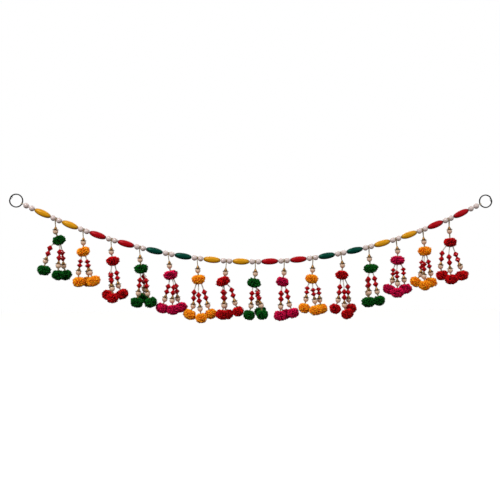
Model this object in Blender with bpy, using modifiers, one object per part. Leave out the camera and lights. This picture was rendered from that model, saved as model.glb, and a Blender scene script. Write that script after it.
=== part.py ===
"""Toran door hanging: strung beads with pompom tassels, hung as a swag from two rings.

+X runs along the swag to the right, +Y points away from the viewer and +Z is up.
The origin is the place inside the left ring where its nail bears.
Sizes are in millimetres, and MM turns them to metres where a mesh is made.
"""
import math
from typing import NamedTuple

import bmesh
import bpy
import numpy as np
from mathutils import Vector

MM = 0.001

# Points closer than this are made one
WELD = 0.01

# The swag, from one ring's centre to the other's
SPAN = 936.0
SAG = 121.0
END_RUN = 27.9
WALK_STEPS = 4000

# The two rings and the string
RING_OUTER = 27.6
RING_WIRE = 2.2
RING_SEGMENTS = 24
WIRE_SIDES = 6
CORD_THICK = 1.3
CORD_LOOP = 4.4
LOOP_SEGMENTS = 12

# The beads on the string
GAP = 0.4
BORE = 2.1
PEARL = 11.4
PEARL_PITCH = 12.2
PEARL_ANGLES = (48, 90, 131)
SPACER_THICK = 3.8
SPACER_LENGTH = 1.8
BEAD_THICK = 13.0
BEAD_OUTLINE = ((1.0, 0.36), (0.80, 0.70), (0.30, 0.98), (-0.30, 0.98), (-0.80, 0.70), (-1.0, 0.36))
BEAD_SIDES = 8
BEAD_COLOURS = ("yellow", "red", "green")

# A tassel's head, as drops below the string, with its doubled thread looped over it
THREAD = 1.0
STRAND_THREAD = 1.6
LOOP_SPREAD = 6.0
LOOP_STEPS = 4
LEG_DROP = 5.0
LEG_SPREAD = 4.3
LEG_MEET = 1.2
CAP_TOP_DROP = 14.0
CAP_TOP_SHIFT = 0.7
LEG_IN_CAP = 2.0
HEAD_PEARL_DROP = 24.3
HEAD_SIDES = 8

# A strand, measured along it from its pearl's centre
CRYSTAL = 10.0
CRYSTAL_WAIST = 3.4
CRYSTALS_TO_PEARL = 10.0
CAP_TOP = 2.6
CAP_RIM = 12.4
CAP_RISE = 3.6
PEARL_LOW = (2.2, 10.2)
PEARL_FOOT = (5.2, 2.2)
BALL_REACH = 18.0
STRAND_SIDES = 6

# A strand's root, below the top pompom's middle and a share of the way out to the strand
ROOT_DROP = 4.0
ROOT_SHIFT = 0.35

# How far forward or back each part of a strand lies, as a share of its pompom's depth
ROOT_DEPTH = 0.25
CRYSTAL_DEPTH = 0.55
PEARL_DEPTH = 0.85

# Pompoms, and their outline as shares of half the height and half the width
HEAD_BALL = (26.4, 19.0)
STRAND_BALL = (24.4, 20.6)
BALL_OUTLINE = ((-0.70, 0.09), (-0.93, 0.42), (-0.45, 0.92), (0.28, 1.0), (0.82, 0.62))

# A pompom's rings are wider or narrower by this share, on a wave that steps on from ball to ball
# and from ring to ring
LUMP = 0.05
LUMP_STEPS = (1.7, 2.3)


class Strand(NamedTuple):
    """One strand of a tassel, placed from the middle of the pearl pair above it."""
    crystal_x: float
    pearl_x: float
    pearl_drop: float
    ball_shift: float
    depth: float


class Tassel(NamedTuple):
    """One tassel: its yarn, where its cap and top pompom hang, how long its crystals are, its strands."""
    yarn: str
    cap_x: float
    ball_x: float
    ball_drop: float
    crystal_height: float
    left: Strand
    middle: Strand
    right: Strand


class Station(NamedTuple):
    """One ring of a lofted form, turned by a share of one side."""
    centre: Vector
    axis: Vector
    radius: float
    turn: float = 0.0


TASSELS = (
    Tassel("green", -1.5, 5, 41, 11.2,
           Strand(-12, -21, 82, -3, 0), Strand(8, 6, 91, 0, -12), Strand(10, 12, 92, 4, 12)),
    Tassel("orange", -1, -1, 42, 8.2,
           Strand(-6, -9.5, 83, 0.5, -6), Strand(5, 6, 84, 0, 17), Strand(7, 13, 83, 7, -6)),
    Tassel("red", -1, 2, 42, 10.4,
           Strand(-3, -2, 93, -7, 10), Strand(-1, 2, 96, 1, -12), Strand(9, 12, 91, 7.5, 6)),
    Tassel("green", 0, 2, 42, 10.6,
           Strand(0, -3, 90, -3, -8), Strand(6, 7, 83, -4, 14), Strand(12, 15, 91, 6, -5)),
    Tassel("magenta", 1.5, 4, 42, 10.6,
           Strand(-1, -8, 90, -5, 0), Strand(10, 7, 92, 2, -10), Strand(14, 17, 90, 6, 11)),
    Tassel("orange", 0.5, 2, 42, 11.4,
           Strand(-7, -9, 95, -7, 3), Strand(2, 5, 100, 2, -8), Strand(13, 20, 94, 6, 6)),
    Tassel("red", -2, -7, 40.5, 11,
           Strand(-7, -5.5, 88, -4, -11), Strand(-4, -3, 90, 4, 13), Strand(10, 17, 84, 6, 6)),
    Tassel("green", 0, -3, 42, 10.2,
           Strand(-7, -9, 88, -4, -5), Strand(5, 6, 84, 5, 16), Strand(4, 11, 87, 2, -8)),
    Tassel("magenta", 0, -3.5, 42, 11,
           Strand(-7, -8, 91, -2, -11), Strand(-5, -6, 93, 8.5, 13), Strand(5, 10, 87.5, 7, -4)),
    Tassel("orange", 0, -2, 42, 8.2,
           Strand(-10.5, -13, 83, -3, 5), Strand(0, 3, 86, 2, -10), Strand(12.5, 15.5, 85, 3, 10)),
    Tassel("red", 3.5, 2, 43.5, 11,
           Strand(-2, -5.5, 94, -6, 0), Strand(6, 5.5, 103.5, 5.5, -10), Strand(15, 17, 94, 4, 9)),
    Tassel("green", 2, 4.5, 43, 11.2,
           Strand(-2, -1, 91, -1, -12), Strand(0, 1, 94, 1, 13), Strand(12, 17, 90, 4, -2)),
    Tassel("magenta", 4, 4, 42.5, 8,
           Strand(-4, -5, 84, -6.5, 8), Strand(1, 1.5, 89, -0.5, -9), Strand(16.5, 19, 82.5, 2.5, 8)),
    Tassel("orange", 3.5, 5, 42.5, 9.6,
           Strand(0, -1.5, 90, -10, 7), Strand(2, 0.5, 93.5, 1.5, -10), Strand(13.5, 19.5, 88, 0, 8)),
    Tassel("red", 2.5, 4, 46.5, 11.2,
           Strand(-11.5, -14, 95.5, 3.5, 7), Strand(0, 1.5, 103, 2, -8), Strand(15.5, 26, 96, 3.5, 4)),
)
BEAD_COUNT = len(TASSELS) + 1

# Each finish: base colour as linear red, green and blue, roughness and metallic value
FINISHES = {
    "ring": ((0.045, 0.036, 0.032), 0.35, 0.9),
    "cord": ((0.62, 0.56, 0.48), 0.85, 0.0),
    "pearl": ((0.60, 0.52, 0.48), 0.25, 0.0),
    "yellow": ((0.69, 0.32, 0.010), 0.35, 0.0),
    "red": ((0.46, 0.006, 0.014), 0.35, 0.0),
    "green": ((0.004, 0.10, 0.065), 0.35, 0.0),
    "yarn_green": ((0.001, 0.06, 0.006), 0.9, 0.0),
    "yarn_orange": ((0.85, 0.20, 0.003), 0.9, 0.0),
    "yarn_red": ((0.32, 0.002, 0.005), 0.9, 0.0),
    "yarn_magenta": ((0.37, 0.001, 0.05), 0.9, 0.0),
}


def clear_scene():
    """Remove every object, so that the script starts from nothing."""
    for thing in list(bpy.data.objects):
        bpy.data.objects.remove(thing, do_unlink=True)


def new_collection(name):
    """Make a collection under the scene's own."""
    collection = bpy.data.collections.new(name)
    bpy.context.scene.collection.children.link(collection)
    return collection


def finish(name):
    """Return the material of that finish, made when it is first asked for."""
    material = bpy.data.materials.get(name)
    if material is None:
        colour, roughness, metallic = FINISHES[name]
        material = bpy.data.materials.new(name)
        material.use_nodes = True
        shader = material.node_tree.nodes["Principled BSDF"]
        shader.inputs["Base Color"].default_value = (*colour, 1.0)
        shader.inputs["Roughness"].default_value = roughness
        shader.inputs["Metallic"].default_value = metallic
    return material


def add_object(name, mesh, collection, finish_name, location):
    """Put a mesh in the scene as a named object with its own finish."""
    mesh.materials.clear()
    mesh.materials.append(finish(finish_name))
    thing = bpy.data.objects.new(name, mesh)
    thing.location = location * MM
    collection.objects.link(thing)
    return thing


def swag_height(x):
    """Height of the string at x from the left ring's centre, a parabola."""
    return -SAG * (1.0 - (2.0 * x / SPAN - 1.0) ** 2)


WALK_X = np.linspace(0.0, SPAN, WALK_STEPS + 1)
WALK_Z = swag_height(WALK_X)
WALK_LENGTH = np.concatenate(([0.0], np.cumsum(np.hypot(np.diff(WALK_X), np.diff(WALK_Z)))))
TOTAL_LENGTH = float(WALK_LENGTH[-1])
REPEAT = (TOTAL_LENGTH - 2.0 * END_RUN) / BEAD_COUNT
PAIR_LENGTH = PEARL_PITCH + PEARL
BEAD_LENGTH = REPEAT - PAIR_LENGTH - 2.0 * GAP
END_SLOPE = math.atan(4.0 * SAG / SPAN)
PULL_LEFT = Vector((math.cos(END_SLOPE), 0.0, -math.sin(END_SLOPE)))
PULL_RIGHT = Vector((-PULL_LEFT.x, 0.0, PULL_LEFT.z))
RING_INNER_RADIUS = RING_OUTER / 2.0 - RING_WIRE
WIRE_RADIUS = RING_OUTER / 2.0 - RING_WIRE / 2.0
RING_LEFT_AT = PULL_LEFT * RING_INNER_RADIUS
RING_RIGHT_AT = RING_LEFT_AT + Vector((SPAN, 0.0, 0.0))


def swag_point(length):
    """Return the string's point at a length along it from the left ring's centre."""
    x = float(np.interp(length, WALK_LENGTH, WALK_X))
    return RING_LEFT_AT + Vector((x, 0.0, swag_height(x)))


def pair_ends(index):
    """Return where the space around a pearl pair starts and ends on the string."""
    middle = END_RUN + index * REPEAT
    half = PAIR_LENGTH / 2.0 + GAP / 2.0
    return swag_point(middle - half), swag_point(middle + half)


def turned_mesh(name, outline, sides):
    """Turn a closed outline of (z, radius) points round the Z axis with a Screw modifier."""
    mesh = bpy.data.meshes.new(name)
    count = len(outline)
    points = [(radius * MM, 0.0, z * MM) for z, radius in outline]
    mesh.from_pydata(points, [(i, (i + 1) % count) for i in range(count)], [])
    guide = bpy.data.objects.new(name + "_outline", mesh)
    bpy.context.scene.collection.objects.link(guide)
    screw = guide.modifiers.new("turn", "SCREW")
    screw.steps = sides
    screw.render_steps = sides
    screw.use_merge_vertices = True
    screw.merge_threshold = WELD * MM
    turned = bpy.data.meshes.new_from_object(guide.evaluated_get(bpy.context.evaluated_depsgraph_get()))
    bpy.data.objects.remove(guide, do_unlink=True)
    turned.name = name
    return turned


def bored(side, half):
    """Close an outline that runs down a bead's outer side with the bore through its middle."""
    return [(half, BORE / 2.0), *side, (-half, BORE / 2.0)]


def pearl_pair_mesh():
    """Two pearls and the knotted spacer between them, bored from end to end."""
    radius = PEARL / 2.0
    turns = [math.radians(angle) for angle in PEARL_ANGLES]
    upper = [(PEARL_PITCH / 2.0 + radius * math.cos(turn), radius * math.sin(turn)) for turn in turns]
    upper.append((SPACER_LENGTH / 2.0, SPACER_THICK / 2.0))
    lower = [(-z, thick) for z, thick in reversed(upper)]
    return turned_mesh("pearl_pair", bored([*upper, *lower], PAIR_LENGTH / 2.0), BEAD_SIDES)


def long_bead_mesh(colour):
    """A long oval bead with small flat ends, bored from end to end."""
    half = BEAD_LENGTH / 2.0
    side = [(along * half, width * BEAD_THICK / 2.0) for along, width in BEAD_OUTLINE]
    return turned_mesh("long_bead_" + colour, bored(side, half), BEAD_SIDES)


def lie_along(thing, start, end):
    """Put an object's Z axis on the line between two points of the string."""
    line = end - start
    thing.location = (start + end) / 2.0 * MM
    thing.rotation_euler = (0.0, math.atan2(line.x, line.z), 0.0)


def string_beads(collection):
    """Thread the pearl pairs and the long beads on the string, end to end."""
    pair_mesh = pearl_pair_mesh()
    bead_meshes = [long_bead_mesh(colour) for colour in BEAD_COLOURS]
    for index in range(BEAD_COUNT + 1):
        pair = add_object(f"pearl_pair_{index:02d}", pair_mesh, collection, "pearl", Vector())
        lie_along(pair, *pair_ends(index))
    for index in range(BEAD_COUNT):
        which = index // 2 % len(BEAD_COLOURS)
        name = f"long_bead_{index + 1:02d}"
        bead = add_object(name, bead_meshes[which], collection, BEAD_COLOURS[which], Vector())
        lie_along(bead, pair_ends(index)[1], pair_ends(index + 1)[0])


def tube_mesh(name, points, thick, bevel_resolution):
    """Make a closed tube along points, as a mesh with its caps welded on."""
    curve = bpy.data.curves.new(name, "CURVE")
    curve.dimensions = "3D"
    curve.bevel_depth = thick / 2.0 * MM
    curve.bevel_resolution = bevel_resolution
    curve.use_fill_caps = True
    spline = curve.splines.new("POLY")
    spline.points.add(len(points) - 1)
    for knot, point in zip(spline.points, points):
        knot.co = (*(point * MM), 1.0)
    guide = bpy.data.objects.new(name, curve)
    bpy.context.scene.collection.objects.link(guide)
    mesh = bpy.data.meshes.new_from_object(guide.evaluated_get(bpy.context.evaluated_depsgraph_get()))
    bpy.data.objects.remove(guide, do_unlink=True)
    body = bmesh.new()
    body.from_mesh(mesh)
    bmesh.ops.remove_doubles(body, verts=body.verts, dist=WELD * MM)
    bmesh.ops.recalc_face_normals(body, faces=body.faces)
    body.to_mesh(mesh)
    body.free()
    mesh.name = name
    return mesh


def add_torus(name, radius, wire, segments, collection, finish_name):
    """Add a ring of round wire about the Z axis."""
    bpy.ops.mesh.primitive_torus_add(major_radius=radius * MM, minor_radius=wire / 2.0 * MM,
                                     major_segments=segments, minor_segments=WIRE_SIDES)
    made = bpy.context.object
    mesh = made.data
    bpy.data.objects.remove(made, do_unlink=True)
    mesh.name = name
    return add_object(name, mesh, collection, finish_name, Vector())


def add_ring(name, centre, collection):
    """A ring that faces the viewer, with the nail's hole along Y."""
    ring = add_torus(name, WIRE_RADIUS, RING_WIRE, RING_SEGMENTS, collection, "ring")
    ring.location = centre * MM
    ring.rotation_euler = (math.pi / 2.0, 0.0, 0.0)


def join_to(thing, other):
    """Unite another closed object with this one."""
    other.hide_render = True
    other.display_type = "WIRE"
    union = thing.modifiers.new("join_" + other.name, "BOOLEAN")
    union.operation = "UNION"
    union.solver = "EXACT"
    union.object = other


def add_cord(collection, cutters):
    """The string: straight from bead to bead, with a loop round each ring's wire."""
    knots = []
    for index in range(BEAD_COUNT + 1):
        knots.extend(pair_ends(index))
    reach = WIRE_RADIUS + CORD_LOOP / 2.0
    first = RING_LEFT_AT + PULL_LEFT * reach
    last = RING_RIGHT_AT + PULL_RIGHT * reach
    mesh = tube_mesh("cord", [first, *knots, last], CORD_THICK, 1)
    cord = add_object("cord", mesh, collection, "cord", Vector())
    ends = (("loop_left", RING_LEFT_AT, PULL_LEFT), ("loop_right", RING_RIGHT_AT, PULL_RIGHT))
    for name, centre, pull in ends:
        loop = add_torus(name, CORD_LOOP / 2.0, CORD_THICK, LOOP_SEGMENTS, cutters, "cord")
        loop.location = (centre + pull * WIRE_RADIUS) * MM
        loop.rotation_euler = (0.0, math.atan2(-pull.z, pull.x), 0.0)
        join_to(cord, loop)


def ring_points(station, sides):
    """Return the points of a loft's ring, evenly round its axis."""
    across = station.axis.cross(Vector((0.0, 1.0, 0.0))).normalized()
    along = station.axis.cross(across)
    points = []
    for side in range(sides):
        angle = (side + station.turn) / sides * math.tau
        spoke = across * math.cos(angle) + along * math.sin(angle)
        points.append((station.centre + spoke * station.radius) * MM)
    return points


def loft_mesh(name, stations, sides, tip):
    """Skin a row of rings with triangles, with a flat start and a pointed end."""
    body = bmesh.new()
    rings = [[body.verts.new(point) for point in ring_points(station, sides)] for station in stations]
    for upper, lower in zip(rings, rings[1:]):
        for side in range(sides):
            after = (side + 1) % sides
            body.faces.new((upper[side], upper[after], lower[side]))
            body.faces.new((upper[after], lower[after], lower[side]))
    body.faces.new(rings[0])
    point = body.verts.new(tip * MM)
    for side in range(sides):
        body.faces.new((rings[-1][side], rings[-1][(side + 1) % sides], point))
    bmesh.ops.recalc_face_normals(body, faces=body.faces)
    mesh = bpy.data.meshes.new(name)
    body.to_mesh(mesh)
    body.free()
    return mesh


def ball_stations(centre, axis, size, seed):
    """Return a pompom's rings: a dimple where it is tied, then its lumpy round."""
    width, height = size
    stations = []
    for index, (share, radius) in enumerate(BALL_OUTLINE):
        lump = 1.0 + LUMP * math.sin(seed * LUMP_STEPS[0] + index * LUMP_STEPS[1])
        middle = centre + axis * share * height / 2.0
        stations.append(Station(middle, axis, radius * width / 2.0 * lump, index / 2.0))
    return stations


def cap_and_pearl(centre, axis, cap_top):
    """Return the rings of a flared cap on a pearl, down to the pearl's foot."""
    sizes = ((cap_top, CAP_TOP), (-CAP_RISE, CAP_RIM), PEARL_LOW, PEARL_FOOT)
    return [Station(centre + axis * along, axis, thick / 2.0) for along, thick in sizes]


def place(x, drop, depth=0.0):
    """Return a point under the pearl pair's middle."""
    return Vector((x, depth, -drop))


def head_mesh(name, tassel, seed):
    """The tassel's head: flared cap, pearl and top pompom in a line."""
    ball = place(tassel.ball_x, tassel.ball_drop)
    pearl = place(tassel.cap_x, HEAD_PEARL_DROP)
    upright = (pearl - place(tassel.cap_x * CAP_TOP_SHIFT, CAP_TOP_DROP)).normalized()
    lean = (ball - pearl).normalized()
    rings = cap_and_pearl(pearl, upright, CAP_TOP_DROP - HEAD_PEARL_DROP)
    rings += ball_stations(ball, lean, HEAD_BALL, seed)
    return loft_mesh(name, rings, HEAD_SIDES, ball + lean * HEAD_BALL[1] / 2.0)


def loop_mesh(name, tassel, across):
    """The head's doubled thread: up between the pearls, over the string and down again."""
    points = []
    for step in range(LOOP_STEPS + 1):
        turn = math.pi * (step / LOOP_STEPS - 0.5)
        up = across * (LOOP_SPREAD / 2.0 * math.cos(turn))
        points.append(up + Vector((0.0, LOOP_SPREAD / 2.0 * math.sin(turn), 0.0)))
    for side in (1.0, -1.0):
        leg = [across * -LEG_DROP + Vector((0.0, side * LEG_SPREAD / 2.0, 0.0)),
               place(tassel.cap_x * CAP_TOP_SHIFT, CAP_TOP_DROP + LEG_IN_CAP, side * LEG_MEET / 2.0)]
        points = points + leg if side > 0.0 else leg[::-1] + points
    return tube_mesh(name, points, THREAD, 0)


def strand_mesh(name, tassel, strand, seed):
    """A strand: bare thread, two crystals, flared cap, pearl and its own pompom."""
    pearl = place(strand.pearl_x, strand.pearl_drop, strand.depth * PEARL_DEPTH)
    low_crystal = CRYSTALS_TO_PEARL + tassel.crystal_height / 2.0
    top_crystal = low_crystal + tassel.crystal_height
    top = place(strand.crystal_x, strand.pearl_drop - top_crystal, strand.depth * CRYSTAL_DEPTH)
    down = (pearl - top).normalized()
    root_x = tassel.ball_x + ROOT_SHIFT * (strand.crystal_x - tassel.ball_x)
    root = place(root_x, tassel.ball_drop + ROOT_DROP, strand.depth * ROOT_DEPTH)
    first_tip = pearl - down * (top_crystal + tassel.crystal_height / 2.0)
    bare = (first_tip - root).normalized()
    rings = [Station(root, bare, STRAND_THREAD / 2.0), Station(first_tip, down, STRAND_THREAD / 2.0)]
    waist = (low_crystal + top_crystal) / 2.0
    for above, thick in ((top_crystal, CRYSTAL), (waist, CRYSTAL_WAIST), (low_crystal, CRYSTAL)):
        rings.append(Station(pearl - down * above, down, thick / 2.0))
    rings += cap_and_pearl(pearl, down, -CRYSTALS_TO_PEARL)
    shift = Vector((strand.ball_shift, strand.depth * (1.0 - PEARL_DEPTH), 0.0))
    shift.z = -math.sqrt(BALL_REACH ** 2 - shift.length_squared)
    ball = pearl + shift
    lean = shift.normalized()
    rings += ball_stations(ball, lean, STRAND_BALL, seed)
    return loft_mesh(name, rings, STRAND_SIDES, ball + lean * STRAND_BALL[1] / 2.0)


def add_tassel(index, tassel, collection, cutters):
    """Hang one tassel in the gap between a pair's pearls, its pieces united into one body."""
    name = f"tassel_{index:02d}"
    start, end = pair_ends(index)
    middle = (start + end) / 2.0
    string = (end - start).normalized()
    across = Vector((-string.z, 0.0, string.x))
    colour = "yarn_" + tassel.yarn
    head = add_object(name, head_mesh(name, tassel, index), collection, colour, middle)
    loop = add_object(name + "_loop", loop_mesh(name + "_loop", tassel, across), cutters, colour, middle)
    join_to(head, loop)
    for order, strand in enumerate((tassel.left, tassel.middle, tassel.right)):
        strand_name = f"{name}_strand_{order}"
        mesh = strand_mesh(strand_name, tassel, strand, index * 3 + order)
        join_to(head, add_object(strand_name, mesh, cutters, colour, middle))


def main():
    """Build the whole hanging."""
    clear_scene()
    parts = new_collection("toran_door_hanging")
    cutters = new_collection("joined_shapes")
    add_ring("ring_left", RING_LEFT_AT, parts)
    add_ring("ring_right", RING_RIGHT_AT, parts)
    add_cord(parts, cutters)
    string_beads(parts)
    for index, tassel in enumerate(TASSELS, start=1):
        add_tassel(index, tassel, parts, cutters)


main()
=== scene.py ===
"""Looks of a toran, a beaded door hanging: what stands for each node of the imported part.

Every length is in metres in the part's own frame: +X runs along the swag, +Y points away from
the viewer and +Z is up. Sizes are written in millimetres times MM.
"""
import logging
import math
from dataclasses import dataclass, field
from enum import Enum

import bpy
import numpy as np
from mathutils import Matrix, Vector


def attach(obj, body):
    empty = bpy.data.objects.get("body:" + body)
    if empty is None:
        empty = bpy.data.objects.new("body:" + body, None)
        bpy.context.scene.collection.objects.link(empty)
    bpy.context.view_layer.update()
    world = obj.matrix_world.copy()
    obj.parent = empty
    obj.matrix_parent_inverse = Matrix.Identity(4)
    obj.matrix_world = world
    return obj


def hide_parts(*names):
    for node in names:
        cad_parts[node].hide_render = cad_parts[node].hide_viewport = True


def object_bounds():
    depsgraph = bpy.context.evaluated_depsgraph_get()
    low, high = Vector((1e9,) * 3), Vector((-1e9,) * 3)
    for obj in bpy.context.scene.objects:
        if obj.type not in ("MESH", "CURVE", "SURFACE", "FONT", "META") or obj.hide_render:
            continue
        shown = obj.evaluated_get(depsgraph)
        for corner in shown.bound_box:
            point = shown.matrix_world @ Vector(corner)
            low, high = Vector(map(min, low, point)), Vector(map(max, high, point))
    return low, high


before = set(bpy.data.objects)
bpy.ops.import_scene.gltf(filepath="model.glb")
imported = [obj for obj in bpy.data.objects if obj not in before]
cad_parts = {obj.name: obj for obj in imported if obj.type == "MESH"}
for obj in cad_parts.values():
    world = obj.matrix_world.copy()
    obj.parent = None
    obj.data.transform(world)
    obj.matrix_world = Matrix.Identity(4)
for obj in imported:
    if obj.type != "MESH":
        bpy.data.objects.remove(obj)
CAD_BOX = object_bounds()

LOG = logging.getLogger("toran")
MM = 0.001
BODY = "root"
X_AXIS, Y_AXIS, Z_AXIS = np.eye(3)
GOLDEN_TURN = math.pi * (3.0 - math.sqrt(5.0))
# How many random seeds each tassel has to itself
SEEDS_EACH = 7

WHITE = (1.0, 1.0, 1.0, 1.0)
# The numbers of a mix node's two colour inputs
MIX_FIRST, MIX_SECOND = 6, 7
# How rough a clear layer is, and how far the plies of a thread press into each other
COAT_ROUGHNESS = 0.08
PLY_SWELL = 1.1

Array = np.ndarray


class BeadColour(Enum):
    """The colours of the long beads, in the order in which two of each are strung."""

    YELLOW = "yellow"
    RED = "red"
    GREEN = "green"


class YarnColour(Enum):
    """The colours of the pompoms' yarn."""

    GREEN = "green"
    ORANGE = "orange"
    RED = "red"
    MAGENTA = "magenta"


# Finishes


def linear(colour: str) -> tuple[float, float, float, float]:
    """Turn an sRGB hex colour into linear red, green, blue and alpha.

    Each channel c from 0 to 1 becomes c / 12.92 up to 0.04045, and ((c + 0.055) / 1.055) to the
    power 2.4 above it.

    Args:
        colour: six hex digits after a number sign.

    Returns:
        The linear colour, with alpha 1.
    """
    channels = [int(colour[i:i + 2], 16) / 255.0 for i in (1, 3, 5)]
    parts = [c / 12.92 if c <= 0.04045 else ((c + 0.055) / 1.055) ** 2.4 for c in channels]
    return (parts[0], parts[1], parts[2], 1.0)


def per_metre(size: float) -> float:
    """Return the texture scale whose pattern repeats about once in that many metres."""
    return 1.0 / size


def set_inputs(node: bpy.types.Node, values: dict) -> None:
    """Set a node's input values, by the inputs' names or numbers."""
    for key, value in values.items():
        node.inputs[key].default_value = value


def add_node(tree: bpy.types.NodeTree, kind: str, values: dict | None = None,
             links: dict | None = None, **settings: object) -> bpy.types.Node:
    """Add a node with its settings, input values and links.

    Args:
        tree: the node tree.
        kind: the node's type.
        values: input name or number to its value.
        links: input name or number to the output socket that feeds it.
        settings: the node's own properties.

    Returns:
        The new node.
    """
    node = tree.nodes.new(kind)
    for key, value in settings.items():
        setattr(node, key, value)
    set_inputs(node, values or {})
    for key, socket in (links or {}).items():
        tree.links.new(socket, node.inputs[key])
    return node


@dataclass(frozen=True)
class Finish:
    """A finish: its name, the name of a slot in the record, two tones and how glossy it is.

    Attributes:
        name: what the real material is and how it was made.
        slot: the record's material slot; not used.
        light: the lighter tone, sRGB hex.
        dark: the darker tone, sRGB hex.
        roughness: microfacet roughness.
        metallic: 1 for bare metal, 0 otherwise.
        ior: refractive index of a non-metal.
        specular: share of the usual specular level.
        tint: colour of its reflections, sRGB hex.
        coat: weight of a clear layer on top.
        grain: size of the pattern in metres.
        relief: height of the pattern in metres.
    """

    name: str
    slot: str
    light: str
    dark: str
    roughness: float
    metallic: float = 0.0
    ior: float = 1.5
    specular: float = 0.5
    tint: str = "#FFFFFF"
    coat: float = 0.0
    grain: float = 1.0 * MM
    relief: float = 0.05 * MM

    def material(self) -> bpy.types.Material:
        """Return the material of this finish, made when it is first asked for."""
        made = bpy.data.materials.get(self.name)
        if made is None:
            made = bpy.data.materials.new(self.name)
            made.use_nodes = True
            made.diffuse_color = linear(self.light)
            self.dress(made.node_tree, made.node_tree.nodes["Principled BSDF"])
        return made

    def dress(self, tree: bpy.types.NodeTree, shader: bpy.types.Node) -> None:
        """Set the shader's own values, then lay the pattern on it.

        Args:
            tree: the material's nodes.
            shader: its Principled shader.
        """
        set_inputs(shader, {"Metallic": self.metallic, "Roughness": self.roughness, "IOR": self.ior,
                            "Specular IOR Level": self.specular, "Specular Tint": linear(self.tint),
                            "Coat Weight": self.coat, "Coat Roughness": COAT_ROUGHNESS})
        tone, height = self.pattern(tree)
        tones = {MIX_FIRST: linear(self.dark), MIX_SECOND: linear(self.light)}
        mix = add_node(tree, "ShaderNodeMix", tones, {0: tone}, data_type="RGBA")
        tree.links.new(mix.outputs[2], shader.inputs["Base Color"])
        bump = add_node(tree, "ShaderNodeBump", {"Distance": self.relief, "Strength": 1.0},
                        {"Height": height})
        tree.links.new(bump.outputs["Normal"], shader.inputs["Normal"])

    def pattern(self, tree: bpy.types.NodeTree) -> tuple[bpy.types.NodeSocket, bpy.types.NodeSocket]:
        """Lay a cloudy grain over the surface.

        Args:
            tree: the material's nodes.

        Returns:
            The sockets of the tone, from dark to light, and of the height.
        """
        place = add_node(tree, "ShaderNodeTexCoord")
        noise = add_node(tree, "ShaderNodeTexNoise", {"Scale": per_metre(self.grain), "Detail": 3.0},
                         {"Vector": place.outputs["Object"]})
        return noise.outputs["Fac"], noise.outputs["Fac"]

    def fibres(self, tree: bpy.types.NodeTree, stretch: float) -> bpy.types.NodeSocket:
        """Lay noise on the piece's own map, whose second axis runs along it, in metres.

        Args:
            tree: the material's nodes.
            stretch: how many times longer than wide its marks are.

        Returns:
            The noise's socket.
        """
        place = add_node(tree, "ShaderNodeTexCoord")
        squeeze = add_node(tree, "ShaderNodeMapping", {"Scale": (1.0, 1.0 / stretch, 1.0)},
                           {"Vector": place.outputs["UV"]})
        noise = add_node(tree, "ShaderNodeTexNoise", {"Scale": per_metre(self.grain), "Detail": 2.0},
                         {"Vector": squeeze.outputs["Vector"]})
        return noise.outputs["Fac"]


@dataclass(frozen=True)
class StreakFinish(Finish):
    """A finish with fine streaks along the piece, such as drawn wire or a lacquered bead.

    The tone is dimmed or raised by the piece's shade, of which 0.5 leaves it as it is.
    """

    stretch: float = 12.0

    def pattern(self, tree: bpy.types.NodeTree) -> tuple[bpy.types.NodeSocket, bpy.types.NodeSocket]:
        """Lay streaks for the tone and the height."""
        streaks = self.fibres(tree, self.stretch)
        shade = add_node(tree, "ShaderNodeAttribute", attribute_name="shade")
        double = add_node(tree, "ShaderNodeMath", {1: 2.0}, {0: shade.outputs["Fac"]},
                          operation="MULTIPLY")
        tone = add_node(tree, "ShaderNodeMath", links={0: streaks, 1: double.outputs[0]},
                        operation="MULTIPLY")
        return tone.outputs[0], streaks


@dataclass(frozen=True)
class ShadeFinish(Finish):
    """A finish whose tone is worked out with the shape and kept in the piece's shade attribute."""

    stretch: float = 5.0

    def pattern(self, tree: bpy.types.NodeTree) -> tuple[bpy.types.NodeSocket, bpy.types.NodeSocket]:
        """Read the shade for the tone, and lay fibres for the height."""
        shade = add_node(tree, "ShaderNodeAttribute", attribute_name="shade")
        return shade.outputs["Fac"], self.fibres(tree, self.stretch)


# Blackened spring steel, drawn to wire and coiled: an oxide skin, nearly black, with dull streaks
RING_STEEL = StreakFinish("blackened_spring_steel", "ring_metal", "#0C0A09", "#030303", 0.55, 0.1,
                          specular=0.2, grain=0.5 * MM, relief=0.03 * MM)
# Cotton string, twisted of two plies: matt cream with fibres along it, and painted shade where its plies
# press together
STRING_COTTON = ShadeFinish("twisted_cotton_string", "string", "#D9CBB4", "#8E7F68", 0.9, specular=0.1,
                            grain=0.2 * MM, relief=0.06 * MM)
# Silvered polyester thread: pale grey with a dull metal glint, and painted shade where its plies press
# together
SILVER_THREAD = ShadeFinish("silvered_polyester_thread", "string", "#F2EDE4", "#B0A698", 0.50, 0.10,
                            grain=0.2 * MM, relief=0.04 * MM)
# Gilt thread wound round cotton: dull gold, with painted brown shade where its plies press together and in
# the grooves between its turns, and painted light on its ridges
GILT_THREAD = ShadeFinish("gilt_wound_thread", "string", "#B89A68", "#42331E", 0.45, 0.35,
                          grain=0.2 * MM, relief=0.04 * MM)
# Pearl lacquer on moulded acrylic: milky pink-grey under a clear gloss
STRING_PEARL = Finish("pearl_lacquered_acrylic", "pearl", "#DCCBC6", "#A08D87", 0.30, specular=0.4,
                      coat=0.3, grain=4.0 * MM, relief=0.02 * MM)
# The same pearl lacquer in ivory
TASSEL_PEARL = Finish("ivory_pearl_lacquered_acrylic", "pearl", "#E8C8AC", "#A87C60", 0.30, specular=0.4,
                      coat=0.3, grain=3.0 * MM, relief=0.02 * MM)
# Brass sheet, stamped to a flared cap and darkened: gold on the ribs, near black in the hollows
STAMPED_BRASS = ShadeFinish("stamped_antique_brass", "cap_metal", "#CC9858", "#1A0D05", 0.36, 1.0,
                            grain=0.4 * MM, relief=0.04 * MM)
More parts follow.
